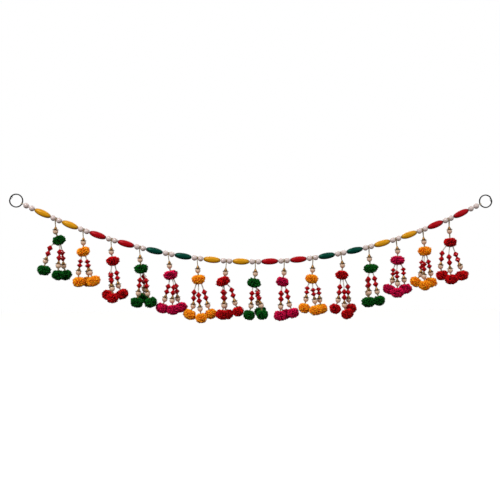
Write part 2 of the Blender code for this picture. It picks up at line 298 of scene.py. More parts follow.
# Cut acrylic crystal in ruby red: clear, hard and mirror-smooth on each facet
RUBY_CRYSTAL = Finish("faceted_ruby_acrylic", "crystal_red", "#C80A14", "#4E0106", 0.10, ior=1.49,
                      specular=0.45, tint="#FF6A70", grain=5.0 * MM, relief=0.0)
# Moulded acrylic beads with a satin lacquer that was brushed along them
BEAD_TONES = {
    BeadColour.YELLOW: ("satin_acrylic_mustard", "#E29A10", "#7E5A04", 0.35, "#FFD890"),
    BeadColour.RED: ("satin_acrylic_crimson", "#B80612", "#4C0105", 0.32, "#FF7078"),
    BeadColour.GREEN: ("satin_acrylic_teal", "#023E30", "#001610", 0.28, "#5CE0B8"),
}
BEAD_FINISHES = {
    bead: StreakFinish(name, f"bead_{bead.value}", light, dark, 0.30, ior=1.49, specular=specular,
                       tint=tint, grain=1.4 * MM)
    for bead, (name, light, dark, specular, tint) in BEAD_TONES.items()
}
# Acrylic knitting yarn, cut to a pompom: matt and fuzzy, with painted shade where the tufts meet and on
# the underside, and painted light near the tie
YARN_TONES = {
    YarnColour.GREEN: ("#137021", "#021204"),
    YarnColour.ORANGE: ("#FFBC24", "#DE6006"),
    YarnColour.RED: ("#F01418", "#5C0408"),
    YarnColour.MAGENTA: ("#FF185C", "#66031E"),
}
YARN_FINISHES = {
    yarn: ShadeFinish(f"cut_acrylic_yarn_{yarn.value}", f"yarn_{yarn.value}", light, dark, 0.95,
                      specular=0.05, grain=0.35 * MM, relief=0.12 * MM)
    for yarn, (light, dark) in YARN_TONES.items()
}
# Matt painted board for the floor: plain and pale
FLOOR_PAINT = Finish("matt_painted_board", "", "#F7F6F4", "#F1F0EE", 0.9, grain=40.0 * MM)


# Surfaces


@dataclass
class Patch:
    """Part of a piece: its points, its faces, and what its material reads there.

    Attributes:
        points: n by 3, in metres.
        quads: point numbers, m by 4.
        triangles: point numbers, k by 3.
        quad_map: m by 4 by 2, round and along the surface in metres.
        triangle_map: k by 3 by 2.
        shade: n values from dark, 0, to light, 1.
    """

    points: Array
    quads: Array
    triangles: Array
    quad_map: Array
    triangle_map: Array
    shade: Array

    def outward(self) -> "Patch":
        """Return the patch with its faces pointing out.

        The signed volume is the sum over the triangles of a . (b x c) / 6, and a negative one
        means that the faces point in, so every face is turned over.
        """
        halves = np.concatenate((self.quads[:, (0, 1, 2)], self.quads[:, (0, 2, 3)], self.triangles))
        a, b, c = (self.points[halves[:, i]] for i in range(3))
        if np.einsum("ij,ij->", a - self.points.mean(axis=0), np.cross(b - a, c - a)) >= 0.0:
            return self
        return Patch(self.points, self.quads[:, ::-1], self.triangles[:, ::-1],
                     self.quad_map[:, ::-1], self.triangle_map[:, ::-1], self.shade)


def unit(vectors: Array) -> Array:
    """Return vectors at length 1, each divided by its own length."""
    return vectors / np.linalg.norm(vectors, axis=-1, keepdims=True)


def around(angle: Array, first: Array, second: Array) -> Array:
    """Return cos(angle) first + sin(angle) second, with the vectors on a last axis of their own."""
    return np.cos(angle)[..., None] * first + np.sin(angle)[..., None] * second


def square_to(way: Array, reference: Array = Y_AXIS) -> tuple[Array, Array]:
    """Return two unit vectors square to a way: way x reference at length 1, and way x that."""
    across = unit(np.cross(way, reference))
    return across, np.cross(way, across)


def turns(count: int) -> Array:
    """Return that many angles evenly round a circle, from 0."""
    return np.arange(count) / count * math.tau


def skin(grid: Array, size: tuple[float, float], closed_rows: bool = False, start: Array | None = None,
         end: Array | None = None, shade: Array | float = 0.5) -> Patch:
    """Skin one or many grids of points that close round their columns.

    Point (r, c) makes a face with (r, c + 1), (r + 1, c + 1) and (r + 1, c), counted round the
    columns, and round the rows too where they close. A start or end point closes that end with
    a fan of triangles.

    Args:
        grid: T grids of R rows by C columns of points, T by R by C by 3.
        size: the way round and the way along each grid, in metres, for the map.
        closed_rows: whether the last row joins the first.
        start: T by 3 points that close the first rows.
        end: T by 3 points that close the last rows.
        shade: T by R by C values, or what spreads to it.

    Returns:
        The patch, with its faces pointing out.
    """
    grids, rows, columns = grid.shape[:3]
    number = np.arange(grids * rows * columns).reshape(grids, rows, columns)
    right = np.roll(number, -1, axis=2)
    steps = rows if closed_rows else rows - 1
    low = np.roll(number, -1, axis=1)[:, :steps]
    low_right = np.roll(right, -1, axis=1)[:, :steps]
    quads = np.stack((number[:, :steps], right[:, :steps], low_right, low), axis=-1).reshape(-1, 4)
    u = np.arange(columns + 1) / columns * size[0]
    v = np.arange(steps + 1) / steps * size[1]
    corners = [np.stack(np.meshgrid(v[i:steps + i], u[j:columns + j], indexing="ij")[::-1], axis=-1)
               for i, j in ((0, 0), (0, 1), (1, 1), (1, 0))]
    quad_map = np.tile(np.stack(corners, axis=2).reshape(1, -1, 4, 2), (grids, 1, 1, 1)).reshape(-1, 4, 2)
    points = [grid.reshape(-1, 3)]
    shades = [np.broadcast_to(shade, (grids, rows, columns)).reshape(-1)]
    triangles, triangle_map = [], []
    ends = ((start, number[:, 0], right[:, 0], 0, 0.0), (end, right[:, -1], number[:, -1], -1, size[1]))
    for tips, first, second, row, along in ends:
        if tips is None:
            continue
        tip = sum(len(part) for part in points) + np.arange(grids)
        points.append(tips)
        shades.append(shades[0].reshape(grids, rows, columns)[:, row].mean(axis=1))
        fan = np.stack((second, first, np.broadcast_to(tip[:, None], first.shape)), axis=-1)
        triangles.append(fan.reshape(-1, 3))
        span = np.stack((u[1:], u[:-1], (u[1:] + u[:-1]) / 2.0), axis=-1)
        fan_map = np.stack((span, np.full_like(span, along)), axis=-1)
        triangle_map.append(np.tile(fan_map[None], (grids, 1, 1, 1)).reshape(-1, 3, 2))
    return Patch(
        np.concatenate(points), quads,
        np.concatenate(triangles) if triangles else np.zeros((0, 3), int), quad_map,
        np.concatenate(triangle_map) if triangle_map else np.zeros((0, 3, 2)),
        np.concatenate(shades)).outward()


def turned(profile: Array, centre: Array, axis: Array, sides: int, closed: bool = True,
           wave: tuple[Array, Array, int] | None = None, shade: Array | float = 0.5) -> Patch:
    """Turn a profile round an axis.

    A profile point (along, radius) becomes centre + along * axis + radius * spoke, for spokes
    evenly round the axis. A wave adds its two heights times cos(lobes * angle) to along and radius.

    Args:
        profile: P by 2 points of distance along the axis and radius.
        centre: where the distance along is 0.
        axis: unit vector.
        sides: how many spokes.
        closed: whether the profile's last point joins its first.
        wave: P heights along, P heights of the radius, and the number of lobes.
        shade: P by sides values, or what spreads to it.

    Returns:
        The surface, open at both ends where the profile isn't closed.
    """
    angle = turns(sides)
    spokes = around(angle, *square_to(axis))
    along = np.repeat(profile[:, :1], sides, axis=1)
    radius = np.repeat(profile[:, 1:], sides, axis=1)
    if wave is not None:
        ripple = np.cos(wave[2] * angle)
        along = along + wave[0][:, None] * ripple
        radius = radius + wave[1][:, None] * ripple
    grid = centre + along[..., None] * axis + radius[..., None] * spokes
    length = float(np.linalg.norm(np.diff(profile, axis=0), axis=1).sum())
    size = (math.tau * float(profile[:, 1].max()), length)
    if closed:
        return skin(grid[None], size, True, shade=shade)
    ends = centre + profile[(0, -1), 0][:, None] * axis
    return skin(grid[None], size, False, ends[:1], ends[1:], shade)


def lengths_to(points: Array) -> Array:
    """Return how far along a line through points each of them is, from 0."""
    return np.concatenate(([0.0], np.cumsum(np.linalg.norm(np.diff(points, axis=0), axis=1))))


def walk(points: Array, step: float) -> Array:
    """Return points evenly along a line through points, about a step apart.

    Args:
        points: corners of the line, n by 3.
        step: distance in metres.

    Returns:
        The points, at equal lengths along the line.
    """
    length = lengths_to(points)
    count = max(3, int(round(length[-1] / step)) + 1)
    at = np.linspace(0.0, length[-1], count)
    return np.stack([np.interp(at, length, points[:, i]) for i in range(3)], axis=-1)


def twisted(path: Array, thick: float, pitch: float, reference: Array, sides: int = 5,
            plies: int = 2) -> list[Patch]:
    """Lay plies round a path, as in twisted thread.

    Ply k's centre is the path + r (cos(a) p + sin(a) q), where p and q are square to the path,
    a is 2 pi (length / pitch + k / plies), and each ply is a round tube of the same r.

    Args:
        path: n by 3 points.
        thick: the thread's full diameter.
        pitch: length of one twist.
        reference: a direction that the path never takes.
        sides: sides of each ply.
        plies: how many.

    Returns:
        One closed tube for each ply.
    """
    way = unit(np.gradient(path, axis=0))
    across, other = square_to(way, reference)
    length = lengths_to(path)
    radius = thick / 4.0
    angle = turns(sides)
    spokes = around(angle[None], across[:, None], other[:, None])
    tubes = []
    for ply in range(plies):
        turn = math.tau * (length / pitch + ply / plies)
        middle = path + radius * around(turn, across, other)
        grid = middle[:, None] + radius * PLY_SWELL * spokes
        # painted shade: each ply is light on its outer side and dark where it presses on the other ply
        shade = 0.5 + 0.5 * np.cos(turn[:, None] - angle[None])
        tubes.append(skin(grid[None], (math.tau * radius, float(length[-1])), False,
                          middle[:1], middle[-1:], shade[None]))
    return tubes


def put_object(name: str, data: bpy.types.ID) -> bpy.types.Object:
    """Return a new object with that mesh, light or camera, linked to the scene."""
    made = bpy.data.objects.new(name, data)
    bpy.context.scene.collection.objects.link(made)
    return made


def put_piece(name: str, patches: list[Patch], finish: Finish, smooth: bool = True) -> bpy.types.Object:
    """Join patches into one mesh object that rides on the part's body.

    Args:
        name: the piece's name.
        patches: its closed surfaces.
        finish: its finish.
        smooth: whether its faces are shaded smooth.

    Returns:
        The object, at the origin.
    """
    starts = np.concatenate(([0], np.cumsum([len(patch.points) for patch in patches])))[:-1]
    points = np.concatenate([patch.points for patch in patches])
    quads, triangles = (np.concatenate([faces + first for faces, first in zip(kind, starts)])
                        for kind in zip(*((patch.quads, patch.triangles) for patch in patches)))
    mesh = bpy.data.meshes.new(name)
    mesh.from_pydata(points.tolist(), [], quads.tolist() + triangles.tolist())
    corner_map = np.concatenate([patch.quad_map.reshape(-1) for patch in patches]
                                + [patch.triangle_map.reshape(-1) for patch in patches])
    mesh.uv_layers.new(name="surface_metres").data.foreach_set("uv", corner_map)
    shade = mesh.attributes.new("shade", "FLOAT", "POINT")
    shade.data.foreach_set("value", np.concatenate([patch.shade for patch in patches]).astype(np.float32))
    mesh.polygons.foreach_set("use_smooth", np.full(len(mesh.polygons), smooth))
    mesh.materials.append(finish.material())
    mesh.update()
    piece = put_object(name, mesh)
    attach(piece, BODY)
    LOG.info("%s: %d triangles in %s", name, 2 * len(quads) + len(triangles), finish.name)
    return piece


# The swag


@dataclass
class Swag:
    """The string's line, a parabola from one ring's centre to the other's, and what hangs where."""

    span: float = 936.0 * MM
    sag: float = 121.0 * MM
    end_run: float = 27.9 * MM
    repeats: int = 16
    ring_outer: float = 27.6 * MM
    ring_wire: float = 2.2 * MM
    pair_length: float = 23.6 * MM
    gap: float = 0.4 * MM
    steps: int = 4000
    left_ring: Array = field(init=False)
    right_ring: Array = field(init=False)
    pull: Array = field(init=False)
    across: Array = field(init=False)
    lengths: Array = field(init=False)
    repeat: float = field(init=False)

    def __post_init__(self) -> None:
        """Work out the lengths along the string, by summing short chords of the parabola.

        Height at x is -sag (1 - (2 x / span - 1) squared), and the end slope is 4 sag / span.
        """
        slope = math.atan(4.0 * self.sag / self.span)
        self.pull = np.array((math.cos(slope), 0.0, -math.sin(slope)))
        self.left_ring = self.pull * (self.ring_outer / 2.0 - self.ring_wire)
        self.right_ring = self.left_ring + np.array((self.span, 0.0, 0.0))
        self.across = np.linspace(0.0, self.span, self.steps + 1)
        drops = np.diff(self.height(self.across))
        self.lengths = np.concatenate(([0.0], np.cumsum(np.hypot(np.diff(self.across), drops))))
        self.repeat = (self.lengths[-1] - 2.0 * self.end_run) / self.repeats

    def height(self, x: Array) -> Array:
        """Return the string's height at x from the left ring's centre."""
        return -self.sag * (1.0 - (2.0 * x / self.span - 1.0) ** 2)

    def point(self, length: float) -> Array:
        """Return the string's point at a length along it from the left ring's centre."""
        x = float(np.interp(length, self.lengths, self.across))
        return self.left_ring + np.array((x, 0.0, float(self.height(np.array(x)))))

    def pair_ends(self, index: int) -> tuple[Array, Array]:
        """Return where the space round a pearl pair starts and ends on the string."""
        middle = self.end_run + index * self.repeat
        half = self.pair_length / 2.0 + self.gap / 2.0
        return self.point(middle - half), self.point(middle + half)

    @property
    def bead_length(self) -> float:
        """Return the length of a long bead."""
        return self.repeat - self.pair_length - 2.0 * self.gap


# The rings and the string


@dataclass
class SplitRing:
    """A split ring: flat wire coiled two turns, so that its two ends lie by the step between them.

    Attributes:
        name: the piece's and the node's name.
        centre: the ring's centre.
        ends_at: the angle of its ends from +X towards +Z, in degrees.
    """

    name: str
    centre: Array
    ends_at: float
    radius: float = 12.5 * MM
    half_wide: float = 1.15 * MM
    half_deep: float = 0.60 * MM
    squareness: float = 0.6
    turn_gap: float = 0.94
    step_from: float = 0.93
    step_turn: float = 0.09
    end_bend: float = 2.6 * MM
    bend_stations: float = 4.0
    taper_stations: float = 1.5
    tip_station: float = 0.9
    open_turn: float = 0.02
    stations: int = 150
    sides: int = 12

    def build(self) -> None:
        """Coil the wire.

        At turn t from 0 to nearly 2 the wire's middle is at angle 2 pi t round the ring. Its depth
        goes from -d to +d by a smooth step 3 s s - 2 s s s near turn 1. Its section is a
        superellipse: each of cos and sin keeps its sign and is raised to a power below 1. The last
        stations at each end bend inwards and shrink like the end of a file-rounded wire.
        """
        turn = np.linspace(0.0, 2.0 - self.open_turn, self.stations)
        step = np.clip((turn - self.step_from) / self.step_turn, 0.0, 1.0)
        depth = (3.0 * step ** 2 - 2.0 * step ** 3) * 2.0 - 1.0
        out = around(math.radians(self.ends_at) + math.tau * turn, X_AXIS, Z_AXIS)
        to_end = np.minimum(np.arange(self.stations), np.arange(self.stations)[::-1])
        radius = self.radius - self.end_bend * np.clip(1.0 - to_end / self.bend_stations, 0.0, 1.0)
        middle = self.centre + radius[:, None] * out + depth[:, None] * self.half_deep * Y_AXIS
        taper = np.sqrt(np.clip((to_end + self.tip_station) / self.taper_stations, 0.0, 1.0))[:, None]
        round_wire = turns(self.sides)
        wide, deep = (np.sign(part) * np.abs(part) ** self.squareness
                      for part in (np.cos(round_wire), np.sin(round_wire)))
        grid = (middle[:, None] + (taper * wide * self.half_wide)[..., None] * out[:, None]
                + (taper * deep * self.half_deep * self.turn_gap)[..., None] * Y_AXIS)
        size = (math.tau * self.half_wide, math.tau * self.radius * 2.0)
        coil = skin(grid[None], size, False, middle[:1], middle[-1:])
        ring = put_piece(self.name + "_coil", [coil], RING_STEEL)
        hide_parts(self.name)


@dataclass
class BeadString:
    """The twisted string through every bead, wound twice round each ring's wire."""

    swag: Swag
    thick: float = 1.3 * MM
    pitch: float = 3.2 * MM
    loop_radius: float = 2.1 * MM
    wire_at: float = 12.7 * MM
    turns: float = 2.0
    side_step: float = 1.3 * MM
    turn_steps: int = 20
    walk_step: float = 1.0 * MM

    def winding(self, ring: Array, pull: Array) -> Array:
        """Return the path of the string's end round the ring's wire.

        At turn t it is at wire + r (cos(2 pi t) pull + sin(2 pi t) y) + s (t / turns - 1/2) w,
        where w is the wire's own direction and s the step between the turns.

        Args:
            ring: the ring's centre.
            pull: the direction in which the string leaves it.

        Returns:
            The path, n by 3.
        """
        turn = np.linspace(0.0, self.turns, int(self.turns * self.turn_steps) + 1)
        wire = np.cross(pull, Y_AXIS)
        return (ring + pull * self.wire_at + self.loop_radius * around(math.tau * turn, pull, Y_AXIS)
                + (self.side_step * (turn / self.turns - 0.5))[:, None] * wire)

    def build(self) -> None:
        """Twist the string's two plies along its whole way."""
        swag = self.swag
        mirrored = swag.pull * np.array((-1.0, 1.0, 1.0))
        ends = [end for index in range(swag.repeats + 1) for end in swag.pair_ends(index)]
        reach = self.wire_at + self.loop_radius
        corners = np.array([swag.left_ring + swag.pull * reach, *ends, swag.right_ring + mirrored * reach])
        patches = twisted(walk(corners, self.walk_step), self.thick, self.pitch, Y_AXIS)
        for ring, pull in ((swag.left_ring, swag.pull), (swag.right_ring, mirrored)):
            patches += twisted(self.winding(ring, pull), self.thick, self.pitch, np.cross(pull, Y_AXIS))
        cord = put_piece("string", patches, STRING_COTTON)
        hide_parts("cord")


# The beads on the string


@dataclass
class LongBead:
    """A long oval bead with small flat ends and a bore."""

    length: float
    thick: float = 13.0 * MM
    end_share: float = 0.36
    side_share: float = 0.985
    face_share: float = 0.8
    bore: float = 2.1 * MM
    bore_flare: float = 1.15
    bore_reach: float = 0.97
    # The next two: the level of the bead's tone, and how far painted shade darkens its ends
    tone_level: float = 0.60
    painted_end_shade: float = 0.85
    sides: int = 28
    stations: int = 25

    def build(self, index: int, colour: BeadColour, start: Array, end: Array) -> None:
        """Turn the bead between two points of the string.

        Its radius at t from -1 to 1 along it is R (e + (1 - e)(1 - |t| ^ 2.2) ^ 0.7), where e is
        its ends' share, and the profile closes through the bore. Its tone carries a painted shade
        that darkens it by |t| ^ 5 towards the ends.

        Args:
            index: its number on the string, from 1.
            colour: its colour.
            start: where its space starts.
            end: where its space ends.
        """
        share = -np.cos(np.linspace(0.0, math.pi, self.stations))
        full = 1.0 - np.abs(share) ** 2.2
        radius = self.thick / 2.0 * (self.end_share + (1.0 - self.end_share) * full ** 0.7)
        half = self.length / 2.0
        outer = np.stack((share * half * self.side_share, radius), axis=-1)
        face = self.thick / 2.0 * self.end_share * self.face_share
        bore = self.bore / 2.0
        closing = np.array(((half, face), (half, bore * self.bore_flare), (half * self.bore_reach, bore)))
        profile = np.concatenate((outer, closing, closing[::-1] * (-1.0, 1.0)))
        # painted shade: the bead darkens by |t| ^ 5 towards its ends
        shade = self.tone_level * (1.0 - self.painted_end_shade * np.abs(profile[:, 0] / half) ** 5)
        shade = np.repeat(shade[:, None], self.sides, axis=1)[None]
        body = turned(profile, (start + end) / 2.0, unit(end - start), self.sides, shade=shade)
        bead = put_piece(f"bead_{colour.value}_{index:02d}", [body], BEAD_FINISHES[colour])
        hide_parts(f"long_bead_{index:02d}")


@dataclass
class PearlPair:
    """Two bored pearls with the knot between them that the tassel's thread is tied to."""

    pearl: float = 11.4 * MM
    pitch: float = 12.2 * MM
    bore: float = 2.1 * MM
    knot: float = 3.8 * MM
    knot_half: float = 1.1 * MM
    knot_ridges: float = 3.0
    knot_stations: int = 13
    knot_sides: int = 12
    sides: int = 24
    stations: int = 15

    def profile(self, at: float) -> Array:
        """Return one pearl's closed profile: a half circle from bore to bore, and the bore."""
        radius = self.pearl / 2.0
        first = math.asin(self.bore / self.pearl)
        angle = np.linspace(first, math.pi - first, self.stations)
        return np.stack((at - radius * np.cos(angle), radius * np.sin(angle)), axis=-1)

    def build(self, index: int, start: Array, end: Array) -> None:
        """Turn both pearls and wind the knot.

        The knot's radius is 0.84 + 0.16 |cos| of its own, three ridges along it.

        Args:
            index: the pair's number on the string, from 0.
            start: where its space starts.
            end: where its space ends.
        """
        middle, axis = (start + end) / 2.0, unit(end - start)
        patches = [turned(self.profile(side * self.pitch / 2.0), middle, axis, self.sides)
                   for side in (-1.0, 1.0)]
        share = np.linspace(-1.0, 1.0, self.knot_stations)
        ridge = 0.84 + 0.16 * np.abs(np.cos(share * self.knot_ridges / 2.0 * math.pi))
        knot = np.stack((share * self.knot_half, ridge * self.knot / 2.0), axis=-1)
        patches.append(turned(knot, middle, axis, self.knot_sides, closed=False))
        pair = put_piece(f"pearls_{index:02d}", patches, STRING_PEARL)
        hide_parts(f"pearl_pair_{index:02d}")


# The tassels


@dataclass(frozen=True)
class Strand:
    """One strand of a tassel, in millimetres from the middle of the pearl pair above it."""

    crystal_x: float
    pearl_x: float
    pearl_drop: float
    ball_shift: float
    depth: float


# Along a tuft: its stations as shares of the reach, its thickness there as shares of its radius,
# and its painted shade there as shares of its tone, darkest at the root where the tufts crowd together
TUFT_REACH = np.array((0.30, 0.72, 0.93, 1.0))
TUFT_THICK = np.array((0.35, 0.82, 1.0, 0.45))
TUFT_LIGHT = np.array((0.05, 0.35, 0.9, 1.0))


@dataclass
class Pompom:
    """A ball of cut yarn, tied at its top.

    Attributes:
        centre: its middle.
        lean: unit vector from its tie through its middle.
        width: across the lean.
        height: along the lean.
        seed: for the order of its tufts.
    """

    centre: Array
    lean: Array
    width: float
    height: float
    seed: int
    tufts: int = 360
    sides: int = 4
    tuft_radius: float = 1.25 * MM
    tuft_tip: float = 0.35
    polar_nudge: float = 0.045
    turn_nudge: float = 0.05
    uneven: tuple[float, float] = (-0.10, 0.06)
    most_bow: float = 0.09
    fatness: tuple[float, float] = (0.8, 1.15)
    tone: float = 0.57
    tone_spread: float = 0.26
    tie_glow: float = 0.30
    foot_dim: float = 0.08
    core_reach: float = 0.72
    core_end: float = 0.12
    core_grid: tuple[int, int] = (12, 18)

    def reach(self, polar: Array, round_turn: Array, phase: float) -> Array:
        """Return how far the yarn reaches in each direction.

        The reach is an ellipsoid's, 1 / sqrt((sin p / a)^2 + (cos p / c)^2), less a deep dimple
        exp(-(p / 0.36)^2) at the tie and a shallow one at the foot, and it swells by two lobes
        and a few waves round the ball.

        Args:
            polar: angle from the tie.
            round_turn: angle round the lean.
            phase: where the lobes are.

        Returns:
            The distance from the centre.
        """
        a, c = self.width / 2.0, self.height / 2.0
        oval = 1.0 / np.sqrt((np.sin(polar) / a) ** 2 + (np.cos(polar) / c) ** 2)
        tie = 1.03 - 0.50 * np.exp(-(polar / 0.36) ** 2) - 0.06 * np.exp(-((math.pi - polar) / 0.5) ** 2)
        lobes = 1.0 + 0.07 * np.cos(2.0 * round_turn + phase) * np.sin(polar) ** 2
        waves = 1.0 + 0.06 * np.sin(4.0 * round_turn + 5.0 * polar + phase * 2.0) * np.sin(polar)
        return oval * tie * lobes * waves

    def way(self, polar: Array, round_turn: Array) -> Array:
        """Return unit vectors at an angle from the tie and an angle round the lean."""
        spoke = around(round_turn, *square_to(self.lean))
        return np.sin(polar)[..., None] * spoke - np.cos(polar)[..., None] * self.lean

    def build(self) -> list[Patch]:
        """Grow the tufts from the tie outwards, round a lumpy core.

        Tuft i points at polar angle acos(1 - 2 (i + 1/2) / n) and turn i times the golden angle, each
        nudged at random. Its middle runs from 0.3 of the reach to the whole of it, and bows
        sideways by a random amount that grows with the square of the way along. Its tone is random
        about a mean; painted light raises it by exp(-(p / 0.6)^2) at the tie, painted shade lowers it
        as the angle p grows towards the foot, and painted shade darkens each tuft towards its root.

        Returns:
            The core and the tufts.
        """
        rng = np.random.default_rng(self.seed)
        count = np.arange(self.tufts)
        polar = np.arccos(1.0 - 2.0 * (count + 0.5) / self.tufts)
        polar = polar + rng.normal(0.0, self.polar_nudge, self.tufts)
        polar = np.clip(polar, 0.06, math.pi - 0.03)
        nudge = rng.normal(0.0, self.turn_nudge, self.tufts)
        turn = count * GOLDEN_TURN + nudge / np.maximum(np.sin(polar), 0.2)
        phase = rng.uniform(0.0, math.tau)
        way = self.way(polar, turn)
        reach = self.reach(polar, turn, phase) * (1.0 + rng.uniform(*self.uneven, self.tufts))
        thick = TUFT_THICK * self.tuft_radius
        sideways = unit(np.cross(way, rng.normal(0.0, 1.0, (self.tufts, 3))))
        bow = rng.uniform(0.0, self.most_bow, self.tufts) * reach
        middle = (self.centre + reach[:, None, None] * TUFT_REACH[None, :, None] * way[:, None]
                  + (bow[:, None] * TUFT_REACH[None] ** 2)[..., None] * sideways[:, None])
        first = unit(np.cross(way, sideways + 0.3 * way))
        second = np.cross(way, first)
        spokes = around(turns(self.sides)[None], first[:, None], second[:, None])
        fat = rng.uniform(*self.fatness, self.tufts)
        grid = middle[:, :, None] + (fat[:, None] * thick[None])[..., None, None] * spokes[:, None]
        # painted light near the tie and painted shade towards the foot; the random part is the yarn's own
        # uneven tone
        tone = (self.tone + rng.normal(0.0, self.tone_spread, self.tufts)
                + self.tie_glow * np.exp(-(polar / 0.6) ** 2) - self.foot_dim * polar)
        # painted shade: TUFT_LIGHT darkens each tuft towards its root
        shade = np.clip(tone, 0.0, 1.0)[:, None] * TUFT_LIGHT[None]
        shade = np.repeat(shade[..., None], self.sides, axis=2)
        tips = middle[:, -1] + self.tuft_tip * self.tuft_radius * way
        size = (math.tau * self.tuft_radius, self.width / 2.0)
        return [self.core(phase), skin(grid, size, False, middle[:, 0], tips, shade)]

    def core(self, phase: float) -> Patch:
        """Return the middle that shows between the tufts, at a share of the reach, in the darkest tone as
        painted shade.
        """
        rows, columns = self.core_grid
        polar = np.linspace(self.core_end, math.pi - self.core_end, rows)[:, None]
        turn = turns(columns)[None]
        reach = self.core_reach * self.reach(polar, turn, phase)
        grid = self.centre + reach[..., None] * self.way(polar, turn)
        tie = self.centre - self.lean * reach[0].mean()
        foot = self.centre + self.lean * reach[-1].mean()
        # painted shade: the core takes the darkest tone
        return skin(grid[None], (self.width, self.height), False, tie[None], foot[None], 0.0)


@dataclass
class Tassel:
    """One tassel: a brass cap, a pearl and a pompom, and three strands below them.

    Attributes:
        yarn: the colour of its pompoms.
        cap_x: where its cap and pearl hang, in millimetres from the pair's middle.
        ball_x: where its top pompom hangs.
        ball_drop: how far down that is.
        ball_tilt: how far its right end is turned up, in degrees, past square to its tie.
        crystal_height: how long each of its crystals is.
        strands: its three strands.
    """

    yarn: YarnColour
    cap_x: float
    ball_x: float
    ball_drop: float
    ball_tilt: float
    crystal_height: float
    strands: tuple[Strand, Strand, Strand]
    thread: float = 1.9 * MM
    strand_thread: float = 3.0 * MM
    thread_pitch: float = 4.2 * MM
    loop_step: float = 0.6 * MM
    bare_step: float = 0.7 * MM
    hidden_step: float = 1.4 * MM
    thread_in_crystal: float = 1.0
    thread_in_cap: float = 4.0
    loop_spread: float = 6.0 * MM
    leg_drop: float = 5.0
    leg_spread: float = 4.3
    leg_meet: float = 1.2
    cap_top_drop: float = 14.0
    cap_top_shift: float = 0.7
    leg_in_cap: float = 2.0
    head_pearl_drop: float = 24.3
    head_ball: tuple[float, float] = (26.4 * MM, 19.0 * MM)
    strand_ball: tuple[float, float] = (24.4 * MM, 20.6 * MM)
    root_drop: float = 4.0
    root_shift: float = 0.35
    root_depth: float = 0.25
    crystal_depth: float = 0.55
    pearl_depth: float = 0.85
    crystal: float = 11.6 * MM
    crystal_sides: int = 8
    crystals_to_pearl: float = 10.0
    cap_rim: float = 12.4 * MM
    cap_rise: float = 3.6 * MM
    cap_petals: int = 7
    cap_hole: float = 1.1 * MM
    cap_sheet: float = 0.35 * MM
    cap_sheet_rise: float = 0.25 * MM
    petal_lift: float = 0.55 * MM
    petal_swell: float = 0.45 * MM
    rib_swell: float = 0.22 * MM
    pearl: float = 10.6 * MM
    pearl_hole: float = 0.16
    neck_from: float = 5.0
    neck_in_ball: float = 0.25
    neck_radius: float = 1.4
    neck_ridge: float = 0.3
    neck_pitch: float = 1.2 * MM
    neck_sides: int = 8
    ball_reach: float = 18.0
    patches: dict[str, list[Patch]] = field(default_factory=dict)
    number: int = field(init=False)
    middle: Array = field(init=False)

    def place(self, x: float, drop: float, depth: float = 0.0) -> Array:
        """Return a point under the pair's middle, from millimetres across, down and back."""
        return self.middle + np.array((x, depth, -drop)) * MM

    def add(self, piece: str, *patches: Patch) -> None:
        """Keep patches for one of the tassel's pieces."""
        self.patches.setdefault(piece, []).extend(patches)

    def cap(self, centre: Array, axis: Array, top: float) -> Patch:
        """Stamp a bell cap with petals on its rim.

        At v from 0 to 1 down the cap its radius is h + (R - h)(0.6 v + 0.4 v ^ 9), where h is its
        hole's. Its petals are a wave of v ^ 6 at the rim and of sin(pi v) in the ribs, and the
        inner wall is a sheet within the outer one. Its tone darkens from the top to the rim.

        Args:
            centre: the pearl's centre under it.
            axis: unit vector down the cap.
            top: where it starts along the axis.

        Returns:
            The cap, a closed sheet with a hole for the thread.
        """
        share = np.linspace(0.0, 1.0, 11)
        along = top + share * (-self.cap_rise - top)
        radius = self.cap_hole + (self.cap_rim / 2.0 - self.cap_hole) * (0.6 * share + 0.4 * share ** 9)
        back = slice(None, None, -2)
        inner = np.stack((along + self.cap_sheet_rise, radius - self.cap_sheet), axis=-1)
        profile = np.concatenate((np.stack((along, radius), axis=-1), inner[back]))
        lift = self.petal_lift * share ** 6
        swell = self.rib_swell * np.sin(math.pi * share) + self.petal_swell * share ** 6
        sides = self.cap_petals * 4
        ripple = np.cos(self.cap_petals * turns(sides))
        dim = np.zeros(len(profile))
        dim[:len(share)] = 1.0 - 0.85 * share ** 5
        shade = (0.5 + 0.5 * ripple[None]) * dim[:, None]
        wave = (np.concatenate((lift, lift[back])), np.concatenate((swell, swell[back])), self.cap_petals)
        return turned(profile, centre, axis, sides, wave=wave, shade=shade[None])

    def drop_pearl(self, centre: Array, axis: Array) -> Patch:
        """Turn a pearl that tapers to its foot.

        At angle a from its top its radius is R sin a, and below the middle R (sin a)^1.15. It goes
        -R cos a along the axis above the middle and -1.08 R cos a below it.

        Args:
            centre: its middle.
            axis: unit vector down it.

        Returns:
            The pearl.
        """
        radius = self.pearl / 2.0
        angle = np.linspace(self.pearl_hole, math.pi - self.pearl_hole, 15)
        below = angle > math.pi / 2.0
        along = -radius * np.cos(angle) * np.where(below, 1.08, 1.0)
        wide = radius * np.sin(angle) ** np.where(below, 1.15, 1.0)
        return turned(np.stack((along, wide), axis=-1), centre, axis, 20, closed=False)

    def neck(self, start: Array, end: Array) -> Patch:
        """Wind the neck between a pearl and its pompom, with painted light on its ridges and painted shade
        in its grooves.
        """
        along = np.linspace(0.0, float(np.linalg.norm(end - start)), 27)
        ridge = np.cos(along / self.neck_pitch * math.tau)
        profile = np.stack((along, (self.neck_radius + self.neck_ridge * ridge) * MM), axis=-1)
        # painted light and shade: light on each ridge, dark in the grooves between them
        shade = np.repeat((0.5 + 0.5 * ridge)[:, None], self.neck_sides, axis=1)
        return turned(profile, start, unit(end - start), self.neck_sides, closed=False, shade=shade[None])

